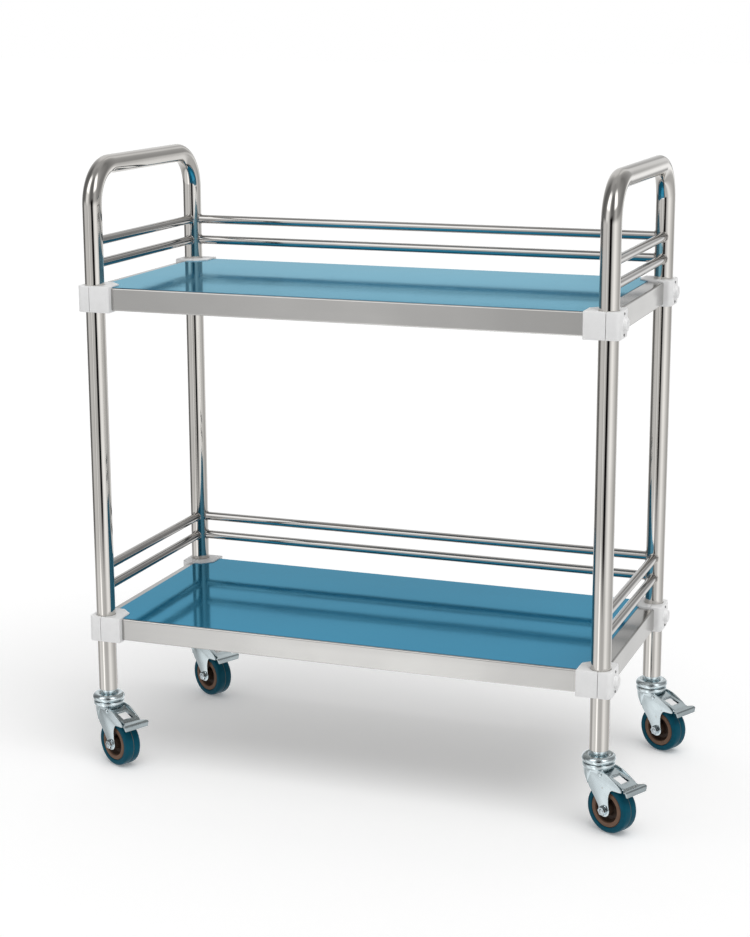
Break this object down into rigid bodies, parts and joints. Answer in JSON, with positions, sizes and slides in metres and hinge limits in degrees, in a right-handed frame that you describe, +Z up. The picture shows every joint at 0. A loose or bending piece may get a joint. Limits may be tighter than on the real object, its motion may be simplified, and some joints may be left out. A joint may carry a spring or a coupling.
{
  "type": "instrument cart",
  "caption": "Two-shelf stainless steel instrument cart with push handles, guard rails, film-covered shelves and braked swivel casters.",
  "frame": {"origin": "on the floor under the middle of the cart's box, casters as pictured", "axes": "+Z up, +X along the shelves to the right, +Y from the open front to the rear"},
  "size_m": [0.7654, 0.367, 0.8138],
  "materials": {
    "polished_steel": "mirror-polished tube",
    "satin_steel": "satin sheet",
    "blue_film": "glossy blue film",
    "white_plastic": "semi-matt moulding",
    "zinc_plate": "bright zinc plate",
    "blue_tyre": "moulded, semi-matt",
    "brown_hub": "moulded, matt"
  },
  "bodies": {
    "frame": {"left_end_frame": "polished_steel", "right_end_frame": "polished_steel", "upper_left_rail_low": "polished_steel", "upper_left_rail_high": "polished_steel", "upper_right_rail_low": "polished_steel", "upper_right_rail_high": "polished_steel", "upper_rear_rail_low": "polished_steel", "upper_rear_rail_high": "polished_steel", "upper_shelf": "satin_steel", "upper_film": "blue_film", "upper_front_left_clamp_inner": "white_plastic", "upper_front_left_clamp_outer": "white_plastic", "upper_front_right_clamp_inner": "white_plastic", "upper_front_right_clamp_outer": "white_plastic", "upper_rear_left_clamp_inner": "white_plastic", "upper_rear_left_clamp_outer": "white_plastic", "upper_rear_right_clamp_inner": "white_plastic", "upper_rear_right_clamp_outer": "white_plastic", "lower_left_rail_low": "polished_steel", "lower_left_rail_high": "polished_steel", "lower_right_rail_low": "polished_steel", "lower_right_rail_high": "polished_steel", "lower_rear_rail_low": "polished_steel", "lower_rear_rail_high": "polished_steel", "lower_shelf": "satin_steel", "lower_film": "blue_film", "lower_front_left_clamp_inner": "white_plastic", "lower_front_left_clamp_outer": "white_plastic", "lower_front_right_clamp_inner": "white_plastic", "lower_front_right_clamp_outer": "white_plastic", "lower_rear_left_clamp_inner": "white_plastic", "lower_rear_left_clamp_outer": "white_plastic", "lower_rear_right_clamp_inner": "white_plastic", "lower_rear_right_clamp_outer": "white_plastic", "front_left_caster_stem": "zinc_plate", "front_right_caster_stem": "zinc_plate", "rear_left_caster_stem": "zinc_plate", "rear_right_caster_stem": "zinc_plate"},
    "front_left_fork": {"front_left_caster_fork": "zinc_plate", "front_left_caster_axle": "zinc_plate"},
    "front_left_wheel": {"front_left_caster_hub": "brown_hub", "front_left_caster_tyre": "blue_tyre"},
    "front_left_brake": {"front_left_brake_pedal": "zinc_plate"},
    "front_right_fork": {"front_right_caster_fork": "zinc_plate", "front_right_caster_axle": "zinc_plate"},
    "front_right_wheel": {"front_right_caster_hub": "brown_hub", "front_right_caster_tyre": "blue_tyre"},
    "front_right_brake": {"front_right_brake_pedal": "zinc_plate"},
    "rear_left_fork": {"rear_left_caster_fork": "zinc_plate", "rear_left_caster_axle": "zinc_plate"},
    "rear_left_wheel": {"rear_left_caster_hub": "brown_hub", "rear_left_caster_tyre": "blue_tyre"},
    "rear_left_brake": {"rear_left_brake_pedal": "zinc_plate"},
    "rear_right_fork": {"rear_right_caster_fork": "zinc_plate", "rear_right_caster_axle": "zinc_plate"},
    "rear_right_wheel": {"rear_right_caster_hub": "brown_hub", "rear_right_caster_tyre": "blue_tyre"},
    "rear_right_brake": {"rear_right_brake_pedal": "zinc_plate"}
  },
  "joints": [
    {"name": "front_left_swivel", "type": "hinge", "parent": "frame", "child": "front_left_fork", "pos_m": [-0.36072, -0.13799, 0.08], "axis": [0, 0, 1], "continuous": true},
    {"name": "front_left_wheel_spin", "type": "hinge", "parent": "front_left_fork", "child": "front_left_wheel", "pos_m": [-0.34022, -0.14843, 0.0315], "axis": [0.454, 0.891, 0], "continuous": true},
    {"name": "front_left_brake_press", "type": "hinge", "parent": "front_left_fork", "child": "front_left_brake", "pos_m": [-0.34646, -0.14526, 0.0758], "axis": [0.454, 0.891, 0], "range_deg": [0, 8]},
    {"name": "front_right_swivel", "type": "hinge", "parent": "frame", "child": "front_right_fork", "pos_m": [0.31928, -0.13799, 0.08], "axis": [0, 0, 1], "continuous": true},
    {"name": "front_right_wheel_spin", "type": "hinge", "parent": "front_right_fork", "child": "front_right_wheel", "pos_m": [0.33977, -0.14843, 0.0315], "axis": [0.454, 0.891, 0], "continuous": true},
    {"name": "front_right_brake_press", "type": "hinge", "parent": "front_right_fork", "child": "front_right_brake", "pos_m": [0.33354, -0.14526, 0.0758], "axis": [0.454, 0.891, 0], "range_deg": [0, 8]},
    {"name": "rear_left_swivel", "type": "hinge", "parent": "frame", "child": "rear_left_fork", "pos_m": [-0.36072, 0.16201, 0.08], "axis": [0, 0, 1], "continuous": true},
    {"name": "rear_left_wheel_spin", "type": "hinge", "parent": "rear_left_fork", "child": "rear_left_wheel", "pos_m": [-0.34022, 0.15157, 0.0315], "axis": [0.454, 0.891, 0], "continuous": true},
    {"name": "rear_left_brake_press", "type": "hinge", "parent": "rear_left_fork", "child": "rear_left_brake", "pos_m": [-0.34646, 0.15474, 0.0758], "axis": [0.454, 0.891, 0], "range_deg": [0, 8]},
    {"name": "rear_right_swivel", "type": "hinge", "parent": "frame", "child": "rear_right_fork", "pos_m": [0.31928, 0.16201, 0.08], "axis": [0, 0, 1], "continuous": true},
    {"name": "rear_right_wheel_spin", "type": "hinge", "parent": "rear_right_fork", "child": "rear_right_wheel", "pos_m": [0.33977, 0.15157, 0.0315], "axis": [0.454, 0.891, 0], "continuous": true},
    {"name": "rear_right_brake_press", "type": "hinge", "parent": "rear_right_fork", "child": "rear_right_brake", "pos_m": [0.33354, 0.15474, 0.0758], "axis": [0.454, 0.891, 0], "range_deg": [0, 8]}
  ]
}
